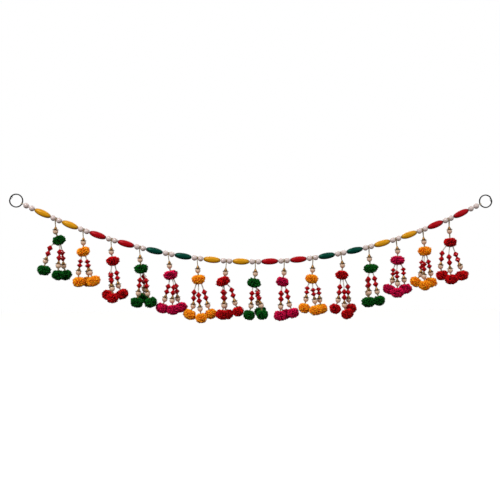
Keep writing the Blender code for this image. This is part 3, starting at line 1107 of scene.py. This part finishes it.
    def cut_crystal(self, centre: Array, axis: Array) -> Patch:
        """Cut a bicone: two rows of facets on each side of a narrow girdle.

        Each ring of corners is turned half a facet from the next, except at the girdle.
        """
        half = self.crystal_height / 2.0 * MM
        wide = self.crystal / 2.0
        along = np.array((-1.0, -0.54, -0.07, 0.07, 0.54, 1.0)) * half
        radius = np.array((0.30, 0.62, 1.0, 1.0, 0.62, 0.30)) * wide
        half_turn = np.array((0.0, 0.5, 0.0, 0.0, 0.5, 0.0))
        sides = self.crystal_sides
        angle = (np.arange(sides)[None] + half_turn[:, None]) / sides * math.tau
        spokes = around(angle, *square_to(axis))
        grid = centre + along[:, None, None] * axis + radius[:, None, None] * spokes
        ends = centre + along[(0, -1), None] * axis
        return skin(grid[None], (math.tau * wide, 2.0 * half), False, ends[:1], ends[1:])

    def lay_thread(self, start: Array, end: Array, step: float, thick: float) -> None:
        """Twist a straight thread between two points, in steps of that length."""
        self.add("threads", *twisted(walk(np.array((start, end)), step), thick, self.thread_pitch, Y_AXIS))

    def hang_pompom(self, pearl: Array, above: Array, ball: Array, size: tuple[float, float], tilt: float,
                    seed: int) -> None:
        """Hang a pearl, its neck and its pompom.

        The pompom's lean is cos(tilt) l + sin(tilt) (l x y), where l points from pearl to pompom.

        Args:
            pearl: the pearl's middle.
            above: unit vector down what is above the pearl.
            ball: the pompom's middle.
            size: the pompom's width and height.
            tilt: how far it is turned past square to its tie, in radians.
            seed: for its tufts.
        """
        lean = unit(ball - pearl)
        self.add("pearls", self.drop_pearl(pearl, unit(above + lean)))
        self.add("loops", self.neck(pearl + self.neck_from * MM * lean,
                                    ball - lean * size[1] * self.neck_in_ball))
        tilted = lean * math.cos(tilt) + np.cross(lean, Y_AXIS) * math.sin(tilt)
        self.add("pompoms", *Pompom(ball, tilted, *size, seed).build())

    def build_head(self, string_way: Array) -> None:
        """Hang the head: the thread over the string, then cap, pearl, neck and top pompom.

        The thread's loop is a half circle over the string, across p and back y:
        r (cos(a) p + sin(a) y) for a from -90 to 90 degrees, then one leg on each side to the cap.
        """
        across = np.array((-string_way[2], 0.0, string_way[0]))
        angle = np.linspace(-math.pi / 2.0, math.pi / 2.0, 13)
        radius = self.loop_spread / 2.0
        over = self.middle + radius * around(angle, across, Y_AXIS)
        legs = []
        for side in (-1.0, 1.0):
            knee = self.middle + across * -self.leg_drop * MM + Y_AXIS * side * self.leg_spread / 2.0 * MM
            foot = self.place(self.cap_x * self.cap_top_shift, self.cap_top_drop + self.leg_in_cap,
                              side * self.leg_meet / 2.0)
            legs.append((knee, foot))
        path = np.concatenate((np.array(legs[0])[::-1], over, np.array(legs[1])))
        self.add("loops", *twisted(walk(path, self.loop_step), self.thread, self.thread_pitch, string_way))
        pearl = self.place(self.cap_x, self.head_pearl_drop)
        upright = unit(pearl - self.place(self.cap_x * self.cap_top_shift, self.cap_top_drop))
        self.add("caps", self.cap(pearl, upright, (self.cap_top_drop - self.head_pearl_drop) * MM))
        self.hang_pompom(pearl, upright, self.place(self.ball_x, self.ball_drop), self.head_ball,
                         math.radians(self.ball_tilt), self.number * SEEDS_EACH)

    def build_strand(self, strand: Strand, seed: int) -> None:
        """Hang a strand: thread, two crystals, cap, pearl, neck and pompom.

        Args:
            strand: its places.
            seed: for its pompom.
        """
        pearl = self.place(strand.pearl_x, strand.pearl_drop, strand.depth * self.pearl_depth)
        low = self.crystals_to_pearl + self.crystal_height / 2.0
        rise = low + self.crystal_height
        top = self.place(strand.crystal_x, strand.pearl_drop - rise, strand.depth * self.crystal_depth)
        down = unit(pearl - top)
        root = self.place(self.ball_x + self.root_shift * (strand.crystal_x - self.ball_x),
                          self.ball_drop + self.root_drop, strand.depth * self.root_depth)
        first_tip = pearl - down * (rise + self.crystal_height / 2.0) * MM
        self.lay_thread(root, first_tip + down * self.thread_in_crystal * MM,
                        self.bare_step, self.strand_thread)
        self.lay_thread(first_tip, pearl - self.thread_in_cap * MM * down, self.hidden_step, self.thread)
        for above in (rise, low):
            self.add("crystals", self.cut_crystal(pearl - above * MM * down, down))
        self.add("caps", self.cap(pearl, down, -self.crystals_to_pearl * MM))
        shift = np.array((strand.ball_shift, strand.depth * (1.0 - self.pearl_depth), 0.0))
        shift[2] = -math.sqrt(self.ball_reach ** 2 - float(shift @ shift))
        self.hang_pompom(pearl, down, pearl + shift * MM, self.strand_ball, 0.0, seed)

    def build(self, number: int, start: Array, end: Array) -> None:
        """Hang the tassel between the pearls of a pair.

        Args:
            number: its number on the string, from 1.
            start: where the pair's space starts.
            end: where it ends.
        """
        self.number = number
        self.middle = (start + end) / 2.0
        self.build_head(unit(end - start))
        for order, strand in enumerate(self.strands):
            self.build_strand(strand, number * SEEDS_EACH + 1 + order)
        finishes = {"pompoms": YARN_FINISHES[self.yarn], "threads": SILVER_THREAD, "loops": GILT_THREAD,
                    "caps": STAMPED_BRASS, "pearls": TASSEL_PEARL, "crystals": RUBY_CRYSTAL}
        for name, finish in finishes.items():
            smooth = name != "crystals"
            piece = put_piece(f"tassel_{number:02d}_{name}", self.patches[name], finish, smooth)
            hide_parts(f"tassel_{number:02d}")


GREEN, ORANGE, RED, MAGENTA = YarnColour.GREEN, YarnColour.ORANGE, YarnColour.RED, YarnColour.MAGENTA
TASSELS = (
    (GREEN, -1.5, 5, 41, 0, 11.2,
     (-12, -21, 82, -3, 0), (8, 6, 91, 0, -12), (10, 12, 92, 4, 12)),
    (ORANGE, -1, -1, 42, 18, 8.2,
     (-6, -9.5, 83, 0.5, -6), (5, 6, 84, 0, 17), (7, 13, 83, 7, -6)),
    (RED, -1, 2, 42, -4, 10.4,
     (-3, -2, 93, -7, 10), (-1, 2, 96, 1, -12), (9, 12, 91, 7.5, 6)),
    (GREEN, 0, 2, 42, 0, 10.6,
     (0, -3, 90, -3, -8), (6, 7, 83, -4, 14), (12, 15, 91, 6, -5)),
    (MAGENTA, 1.5, 4, 42, 4, 10.6,
     (-1, -8, 90, -5, 0), (10, 7, 92, 2, -10), (14, 17, 90, 6, 11)),
    (ORANGE, 0.5, 2, 42, 0, 11.4,
     (-7, -9, 95, -7, 3), (2, 5, 100, 2, -8), (13, 20, 94, 6, 6)),
    (RED, -2, -7, 40.5, 38, 11,
     (-7, -5.5, 88, -4, -11), (-4, -3, 90, 4, 13), (10, 17, 84, 6, 6)),
    (GREEN, 0, -3, 42, 0, 10.2,
     (-7, -9, 88, -4, -5), (5, 6, 84, 5, 16), (4, 11, 87, 2, -8)),
    (MAGENTA, 0, -3.5, 42, 0, 11,
     (-7, -8, 91, -2, -11), (-5, -6, 93, 8.5, 13), (5, 10, 87.5, 7, -4)),
    (ORANGE, 0, -2, 42, 0, 8.2,
     (-10.5, -13, 83, -3, 5), (0, 3, 86, 2, -10), (12.5, 15.5, 85, 3, 10)),
    (RED, 3.5, 2, 43.5, 0, 11,
     (-2, -5.5, 94, -6, 0), (6, 5.5, 103.5, 5.5, -10), (15, 17, 94, 4, 9)),
    (GREEN, 2, 4.5, 43, 0, 11.2,
     (-2, -1, 91, -1, -12), (0, 1, 94, 1, 13), (12, 17, 90, 4, -2)),
    (MAGENTA, 4, 4, 42.5, 0, 8,
     (-4, -5, 84, -6.5, 8), (1, 1.5, 89, -0.5, -9), (16.5, 19, 82.5, 2.5, 8)),
    (ORANGE, 3.5, 5, 42.5, 0, 9.6,
     (0, -1.5, 90, -10, 7), (2, 0.5, 93.5, 1.5, -10), (13.5, 19.5, 88, 0, 8)),
    (RED, 2.5, 4, 46.5, 0, 11.2,
     (-11.5, -14, 95.5, 3.5, 7), (0, 1.5, 103, 2, -8), (15.5, 26, 96, 3.5, 4)),
)


# The studio


@dataclass(frozen=True)
class SoftLight:
    """A square soft light.

    Attributes:
        name: its name.
        place: where it stands.
        target: what it faces.
        width: its side in metres.
        watts: its power.
    """

    name: str
    place: tuple[float, float, float]
    target: tuple[float, float, float]
    width: float
    watts: float

    def add(self) -> None:
        """Stand the light in the scene, turned to its target."""
        data = bpy.data.lights.new(self.name, "AREA")
        data.size = self.width
        data.energy = self.watts
        lamp = put_object(self.name, data)
        lamp.location = self.place
        way = np.array(self.target) - np.array(self.place)
        flat = math.hypot(way[0], way[1])
        lamp.rotation_euler = (math.atan2(flat, -way[2]), 0.0, math.atan2(-way[0], way[1]))


LIGHTS = (SoftLight("key", (-0.6, -1.5, 1.3), (0.45, 0.0, -0.12), 0.8, 38.0),
          SoftLight("fill", (1.6, -1.4, 0.5), (0.5, 0.0, -0.12), 1.2, 8.0),
          SoftLight("back", (0.7, 1.6, 0.9), (0.5, 0.0, -0.12), 1.0, 12.0))


@dataclass
class Studio:
    """A pale floor, soft light and the camera.

    Attributes:
        eye: where the camera stands.
        yaw: its turn to the left, in degrees.
        roll: its turn about its own line of sight, in degrees.
        lens: its focal length in millimetres, on a 36 mm sensor.
    """

    eye: tuple[float, float, float] = (0.393, -1.380, -0.103)
    yaw: float = -3.10
    roll: float = 0.14
    lens: float = 50.0
    sight: float = 50.0
    floor_drop: float = 0.75
    floor_half: float = 6.0
    floor_glow: float = 0.35

    def add_camera(self) -> None:
        """Stand the camera before the hanging, turned to +Y and then by yaw and roll."""
        data = bpy.data.cameras.new("camera")
        data.lens = self.lens
        data.sensor_width = 36.0
        data.clip_end = self.sight
        camera = put_object("camera", data)
        camera.location = self.eye
        camera.rotation_euler = (math.pi / 2.0, math.radians(self.roll), math.radians(self.yaw))
        bpy.context.scene.camera = camera

    def add_world(self) -> None:
        """Light everything softly from above and less from below, on a white background."""
        world = bpy.data.worlds.new("studio")
        world.use_nodes = True
        tree = world.node_tree
        tree.nodes.clear()
        way = add_node(tree, "ShaderNodeTexCoord")
        parts = add_node(tree, "ShaderNodeSeparateXYZ", links={0: way.outputs["Generated"]})
        height = add_node(tree, "ShaderNodeMapRange",
                          {"From Min": -0.7, "From Max": 0.8, "To Min": 0.04, "To Max": 1.0},
                          {"Value": parts.outputs["Z"]})
        sky = add_node(tree, "ShaderNodeBackground", links={"Strength": height.outputs[0]})
        white = add_node(tree, "ShaderNodeBackground", {"Color": WHITE, "Strength": 1.0})
        seen = add_node(tree, "ShaderNodeLightPath")
        mix = add_node(tree, "ShaderNodeMixShader", links={
            0: seen.outputs["Is Camera Ray"], 1: sky.outputs[0], 2: white.outputs[0]})
        add_node(tree, "ShaderNodeOutputWorld", links={0: mix.outputs[0]})
        bpy.context.scene.world = world

    def add_floor(self) -> None:
        """Lay the floor below the hanging, out of the way of the light that comes from under it."""
        middle_x = (CAD_BOX[0][0] + CAD_BOX[1][0]) / 2.0
        half = self.floor_half
        corners = [(middle_x + x * half, y * half, -self.floor_drop)
                   for x, y in ((-1, -1), (1, -1), (1, 1), (-1, 1))]
        mesh = bpy.data.meshes.new("floor")
        mesh.from_pydata(corners, [], [(0, 1, 2, 3)])
        board = FLOOR_PAINT.material()
        set_inputs(board.node_tree.nodes["Principled BSDF"],
                   {"Emission Color": WHITE, "Emission Strength": self.floor_glow})
        mesh.materials.append(board)
        floor = put_object("floor", mesh)
        floor.visible_diffuse = False
        floor.visible_glossy = False

    def build(self) -> None:
        """Set up the whole studio."""
        self.add_camera()
        self.add_world()
        self.add_floor()
        for light in LIGHTS:
            light.add()
        bpy.context.scene.view_settings.view_transform = "Standard"
        LOG.info("studio ready")


def main() -> None:
    """Build every piece in order, then the studio."""
    logging.basicConfig(level=logging.INFO, format="%(name)s: %(message)s")
    swag = Swag()
    SplitRing("ring_left", swag.left_ring, ends_at=154.0).build()
    SplitRing("ring_right", swag.right_ring, ends_at=20.0).build()
    BeadString(swag).build()
    for index in range(swag.repeats + 1):
        PearlPair().build(index, *swag.pair_ends(index))
    long_bead = LongBead(swag.bead_length)
    colours = tuple(BeadColour)
    for index in range(swag.repeats):
        colour = colours[index // 2 % len(colours)]
        long_bead.build(index + 1, colour, swag.pair_ends(index)[1], swag.pair_ends(index + 1)[0])
    for number, (*head, left, middle, right) in enumerate(TASSELS, start=1):
        tassel = Tassel(*head, (Strand(*left), Strand(*middle), Strand(*right)))
        tassel.build(number, *swag.pair_ends(number))
    Studio().build()


if __name__ == "__main__":
    main()
